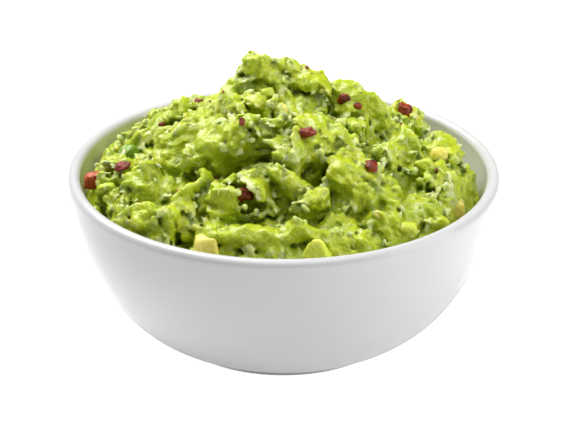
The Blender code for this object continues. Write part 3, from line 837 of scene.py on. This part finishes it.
def many_lumps(name, places, normals, sizes, seed, sunk, thick, rows=6, columns=8):
    """Copies of one round closed grid, each stretched, turned and dented in its own way:
    p = place + turned(size * unit * dent), all lumps at once."""
    chance = np.random.default_rng(seed)
    rise = np.linspace(-math.pi / 2, math.pi / 2, rows)[:, None]
    turn = (np.arange(columns) * 2 * math.pi / columns)[None]
    unit = np.stack(np.broadcast_arrays(
        np.cos(rise) * np.cos(turn), np.cos(rise) * np.sin(turn), np.sin(rise)), axis=-1)
    flat, faces = closed_grid(unit)
    count = len(places)
    spin = chance.uniform(0, 2 * math.pi, count)
    beside = np.cross(normals, ANY_WAY)
    beside /= np.linalg.norm(beside, axis=1)[:, None]
    other = np.cross(normals, beside)
    first = np.cos(spin)[:, None] * beside + np.sin(spin)[:, None] * other
    second = np.cross(normals, first)
    stretch = chance.uniform(*LUMP_STRETCH, (count, 1, 3)) * np.array((1.0, 1.0, thick))
    stretch = stretch * sizes[:, None, None] / 2
    around = (np.arange(count) * LUMPS_APART)[:, None, None]
    dents = drift((flat[None] + around).reshape(-1, 3), LUMP_DENT_SIZE, seed).reshape(count, len(flat), 3)
    shape = (flat[None] + LUMP_DENT * dents) * stretch
    axes = np.stack((first, second, normals), axis=1)
    points = shape @ axes + (places - normals * sizes[:, None] * sunk)[:, None]
    every = faces[None] + (np.arange(count) * len(flat))[:, None, None]
    return add_mesh(name, points.reshape(-1, 3), every.reshape(-1, 4))


# %% Scattering
SEEN_DEPTH = 0.012  # crumbs lie no deeper under the rim than this
SEEN_RADIUS = 0.068  # and no further out than this
# The mash crumbs take their painted shade from this openness and their painted highlight from this thinness.
CRUMB_OPEN = 0.1  # a crumb stands out, so it is this much more open than the mash around it
# The share of thinness that a crumb gets, which gives mash crumbs a middling painted highlight.
CRUMB_THIN = 0.5


def picked_points(count, seed):
    """Numbers of mash points above the hidden part, picked by chance, open ones more often."""
    chance = np.random.default_rng(seed)
    seen = (MASH_PLACES[:, 2] > RIM_HEIGHT - SEEN_DEPTH) & (np.hypot(*MASH_PLACES.T[:2]) < SEEN_RADIUS)
    share = seen * OPEN
    return chance.choice(len(MASH_PLACES), count, replace=False, p=share / share.sum())


def scatter(name, finish, count, smallest, largest, seed, sunk, thick):
    """One kind of crumb all over the mash, most of them small, and single larger ones in their own spots."""
    rows = picked_points(count, seed)
    sizes = smallest + (largest - smallest) * np.random.default_rng(seed + 1).random(count) ** 2
    for *place, size in SPOTS.get(name, ()):
        way = MASH_PLACES - seen_on_mash(np.array(place), SPOT_REACH)
        rows = np.append(rows, np.argmin((way**2).sum(axis=1)))
        sizes = np.append(sizes, size)
    piece = many_lumps(name, MASH_PLACES[rows], MASH_NORMALS[rows], sizes, seed, sunk, thick)
    fill = np.repeat(OPEN[rows], len(piece.data.vertices) // len(rows))
    # Openness and thinness on the crumbs steer the mash material's painted shade and painted highlight.
    store(piece.data, "open", np.clip(fill + CRUMB_OPEN, 0, 1))
    store(piece.data, "thin", np.full(len(fill), CRUMB_THIN))
    return piece


# %% The crumbs
SPOT_REACH = 0.005  # the mash is looked for this far before and behind a spot
SPOTS = {  # place and size of the larger single flecks
    "tomato_flecks": (
        (0.0518, -0.0233, 0.07, 0.0022), (0.0255, -0.0004, 0.0834, 0.0026),
        (-0.0352, -0.0288, 0.0647, 0.002), (-0.0324, 0.0046, 0.0749, 0.0024),
        (-0.0425, 0.0118, 0.072, 0.0022), (-0.0139, -0.024, 0.0877, 0.0022),
        (-0.0231, -0.027, 0.0683, 0.0026), (0.0225, -0.031, 0.07, 0.0013),
        (0.037, -0.035, 0.064, 0.0014), (-0.03, 0.033, 0.072, 0.004),
        (-0.008, 0.045, 0.068, 0.0034), (0.013, 0.03, 0.078, 0.0042),
        (0.025, 0.048, 0.064, 0.0036), (-0.048, 0.026, 0.068, 0.0032),
        (0.002, 0.058, 0.064, 0.0028),
    ),
    "pale_crumbs": (
        (0.0385, 0.0211, 0.0744, 0.0044), (0.0458, 0.0186, 0.0731, 0.0042),
        (-0.045, -0.04, 0.064, 0.0034), (-0.02, -0.048, 0.066, 0.0032),
        (0.03, -0.048, 0.066, 0.0034), (-0.015, 0.056, 0.064, 0.0056),
        (0.04, 0.038, 0.066, 0.0048), (-0.042, 0.043, 0.064, 0.0046),
    ),
}
KINDS = {  # finish, how many, smallest and largest size, seed, how deep and how thick in sizes
    "mash_crumbs": ("mash", 300, 0.0010, 0.0026, 311, 0.3, 1.0),
    "pale_crumbs": ("ripe_avocado", 50, 0.0010, 0.0022, 321, 0.50, 1.0),
    "tomato_flecks": ("dark_tomato", 26, 0.0005, 0.0014, 331, 0.0, 0.6),
    "pepper_flecks": ("green_pepper", 22, 0.0006, 0.0016, 341, 0.15, 1.0),
}
CRUMBS = {name: scatter(name, *row) for name, row in KINDS.items()}

# %% [markdown]
# ## Finishes
# All the food is wet flesh with fine grain, so one node group makes the grain, and every food material
# uses it with its own size: where it is wet, how high the grain stands, and soft patches of colour.

# %% Node helper and the flesh group
def add_node(tree, kind, inputs=None, **settings):
    """A node with its settings. An input is a value, or another node's output to be joined to it."""
    made = tree.nodes.new(kind)
    for name, value in settings.items():
        setattr(made, name, value)
    for name, value in (inputs or {}).items():
        if isinstance(value, bpy.types.NodeSocket):
            tree.links.new(value, made.inputs[name])
        else:
            made.inputs[name].default_value = value
    return made


def mapped(tree, value, low, high, to_low, to_high):
    """A value moved from one range to another and kept inside it."""
    ranges = {"Value": value, "From Min": low, "From Max": high, "To Min": to_low, "To Max": to_high}
    return add_node(tree, "ShaderNodeMapRange", ranges).outputs["Result"]


def blended(tree, share, first, second):
    """Two colours mixed by a share."""
    mixer = add_node(tree, "ShaderNodeMix", data_type="RGBA")
    for socket, value in ((mixer.inputs[0], share), (mixer.inputs[6], first), (mixer.inputs[7], second)):
        if isinstance(value, bpy.types.NodeSocket):
            tree.links.new(value, socket)
        else:
            socket.default_value = value
    return mixer.outputs[2]


def flesh_group():
    """Input: Grain, the grains in one metre. Outputs: Height of the grain, Wet and Patch masks."""
    tree = bpy.data.node_groups.new("wet flesh", "ShaderNodeTree")
    tree.interface.new_socket("Grain", in_out="INPUT", socket_type="NodeSocketFloat").default_value = 1400.0
    for name in ("Height", "Wet", "Patch"):
        tree.interface.new_socket(name, in_out="OUTPUT", socket_type="NodeSocketFloat")
    source = tree.nodes.new("NodeGroupInput")
    place = add_node(tree, "ShaderNodeTexCoord").outputs["Object"]

    def cloud(times):
        size = add_node(tree, "ShaderNodeMath", {0: source.outputs["Grain"], 1: times}, operation="MULTIPLY")
        inputs = {"Vector": place, "Scale": size.outputs[0], "Detail": 2.0, "Roughness": 0.6}
        return add_node(tree, "ShaderNodeTexNoise", inputs).outputs["Fac"]

    fine, wet, patch = cloud(2.4), cloud(1.3), cloud(0.16)
    grains = add_node(
        tree, "ShaderNodeTexVoronoi", {"Vector": place, "Scale": source.outputs["Grain"], "Smoothness": 0.3},
        feature="SMOOTH_F1").outputs["Distance"]
    height = add_node(tree, "ShaderNodeMath", {0: grains, 1: -1.0, 2: fine}, operation="MULTIPLY_ADD")
    result = add_node(tree, "NodeGroupOutput")
    tree.links.new(height.outputs[0], result.inputs["Height"])
    tree.links.new(mapped(tree, wet, 0.42, 0.62, 0.0, 1.0), result.inputs["Wet"])
    tree.links.new(mapped(tree, patch, 0.35, 0.65, 0.0, 1.0), result.inputs["Patch"])
    return tree


FLESH = flesh_group()
print("group:", FLESH.name)

# %% [markdown]
# ## Materials
# The mash's colour carries painted light: a pale yellow green painted highlight on its ridges and a deep
# green painted shade in its hollows. Light goes a few millimetres into it, so it has subsurface
# scattering, and a film of oil and water makes it glisten.
# Cut avocado, tomato and pepper have less depth and finer grain. The glaze is nearly plain.

# %% Materials
def new_material(name, roughness, **sockets):
    """A material whose shader has these plain values. Socket names have _ for a space."""
    material = bpy.data.materials.new(name)
    material.use_nodes = True
    shader = material.node_tree.nodes["Principled BSDF"]
    shader.inputs["Roughness"].default_value = roughness
    for socket, value in sockets.items():
        shader.inputs[socket.replace("_", " ").title().replace("Ior", "IOR")].default_value = value
    return material, material.node_tree, shader


def add_bump(tree, shader, height, relief):
    """A height as bump on a shader, this many metres high."""
    bump = add_node(tree, "ShaderNodeBump", {"Height": height, "Distance": relief, "Strength": 1.0})
    tree.links.new(bump.outputs["Normal"], shader.inputs["Normal"])


def add_flesh(tree, shader, grain, relief, dry, wet):
    """The flesh group on a material: grain as bump and a roughness between dry and wet."""
    flesh = add_node(tree, "ShaderNodeGroup", node_tree=FLESH)
    flesh.inputs["Grain"].default_value = grain
    add_bump(tree, shader, flesh.outputs["Height"], relief)
    tree.links.new(mapped(tree, flesh.outputs["Wet"], 0.0, 1.0, dry, wet), shader.inputs["Roughness"])
    return flesh


def mash_material():
    """Yellow green in two tones, with a pale painted highlight where it is thin, and over both a deep green
    painted shade where it is hidden.
    """
    material, tree, shader = new_material(
        "mash", 0.4, subsurface_weight=0.7, subsurface_radius=(0.9, 1.0, 0.10), subsurface_scale=0.0024,
        specular_ior_level=0.4, coat_weight=0.55, coat_roughness=0.22)
    flesh = add_flesh(tree, shader, 700.0, 0.00042, 0.55, 0.22)
    is_open = add_node(tree, "ShaderNodeAttribute", attribute_name="open").outputs["Fac"]
    is_thin = add_node(tree, "ShaderNodeAttribute", attribute_name="thin").outputs["Fac"]
    body = blended(tree, flesh.outputs["Patch"], (0.41, 0.52, 0.003, 1.0), (0.53, 0.605, 0.015, 1.0))
    # Painted highlight: thin ridges turn a paler, whiter yellow green, for the light that comes through them
    # and for their wet sheen.
    body = blended(tree, mapped(tree, is_thin, 0.30, 0.95, 0.0, 0.85), body, (0.68, 0.73, 0.37, 1.0))
    # Painted shade: where the mash is little open, in its crevices, it turns deep green.
    colour = blended(tree, mapped(tree, is_open, 0.20, 0.85, 0.0, 1.0), (0.150, 0.225, 0.0, 1.0), body)
    tree.links.new(colour, shader.inputs["Base Color"])
    return material


def flesh_material(name, first, second, grain, relief, dry, wet, depth, weight):
    """Cut flesh in two colours that run into each other in patches."""
    material, tree, shader = new_material(
        name, dry, subsurface_weight=weight, subsurface_radius=(1.0, 0.8, 0.3), subsurface_scale=depth)
    flesh = add_flesh(tree, shader, grain, relief, dry, wet)
    tone = blended(tree, flesh.outputs["Patch"], (*first, 1.0), (*second, 1.0))
    tree.links.new(tone, shader.inputs["Base Color"])
    return material


def glaze_material():
    """White glaze, with a trace of waviness and slightly uneven gloss."""
    material, tree, shader = new_material("glaze", 0.20, ior=1.45)
    place = add_node(tree, "ShaderNodeTexCoord").outputs["Object"]
    noise = {"Vector": place, "Scale": 60.0, "Detail": 1.0}
    wave = add_node(tree, "ShaderNodeTexNoise", noise).outputs["Fac"]
    add_bump(tree, shader, wave, 0.00006)
    tone = blended(tree, wave, (0.58, 0.58, 0.582, 1.0), (0.61, 0.61, 0.612, 1.0))
    tree.links.new(tone, shader.inputs["Base Color"])
    tree.links.new(mapped(tree, wave, 0.3, 0.7, 0.16, 0.24), shader.inputs["Roughness"])
    return material


def floor_material():
    """A plain pale floor that the camera sees as white, as an evenly lit studio table looks."""
    material, tree, shader = new_material("floor", 0.6, base_color=(0.85, 0.85, 0.85, 1.0))
    seen = add_node(tree, "ShaderNodeLightPath").outputs["Is Camera Ray"]
    strength = mapped(tree, seen, 0.0, 1.0, 0.28, 0.85)
    glow = add_node(tree, "ShaderNodeEmission", {"Color": (1.0, 1.0, 1.0, 1.0), "Strength": strength})
    both = add_node(tree, "ShaderNodeAddShader", {0: shader.outputs[0], 1: glow.outputs[0]})
    tree.links.new(both.outputs[0], tree.nodes["Material Output"].inputs["Surface"])
    return material


# Each cut flesh: first colour, second colour, grains in one metre, their height, roughness where dry and
# where wet, how deep light goes, and how much of it.
FLESHES = {
    "ripe_avocado": ((0.84, 0.73, 0.10), (0.90, 0.82, 0.22), 900.0, 0.00025, 0.45, 0.26, 0.0020, 0.4),
    "green_avocado": ((0.44, 0.53, 0.012), (0.64, 0.72, 0.070), 900.0, 0.00025, 0.45, 0.26, 0.0020, 0.4),
    "cut_avocado": ((0.70, 0.80, 0.05), (0.84, 0.89, 0.15), 900.0, 0.00020, 0.40, 0.24, 0.0020, 0.4),
    "tomato": ((0.34, 0.022, 0.003), (0.60, 0.13, 0.025), 2200.0, 0.00012, 0.26, 0.10, 0.0010, 0.3),
    "dark_tomato": ((0.11, 0.006, 0.001), (0.36, 0.042, 0.004), 2600.0, 0.00012, 0.26, 0.08, 0.0006, 0.15),
    "green_pepper": ((0.12, 0.25, 0.006), (0.24, 0.40, 0.030), 700.0, 0.00012, 0.35, 0.16, 0.0008, 0.2),
    "pale_pepper": ((0.46, 0.62, 0.03), (0.62, 0.74, 0.08), 700.0, 0.00015, 0.35, 0.16, 0.0010, 0.3),
}
MATERIALS = {"glaze": glaze_material(), "mash": mash_material()}
MATERIALS.update((name, flesh_material(name, *look)) for name, look in FLESHES.items())


# %% Each piece gets its material
def dress(thing, finish):
    """One material on the whole object."""
    thing.data.materials.clear()
    thing.data.materials.append(MATERIALS[finish])


dress(bowl, "glaze")
dress(mash, "mash")
for name, piece in LARGE.items():
    dress(piece, PIECES[name][0])
for name, piece in CRUMBS.items():
    dress(piece, KINDS[name][0])
floor.data.materials.append(floor_material())
print("materials:", ", ".join(MATERIALS))
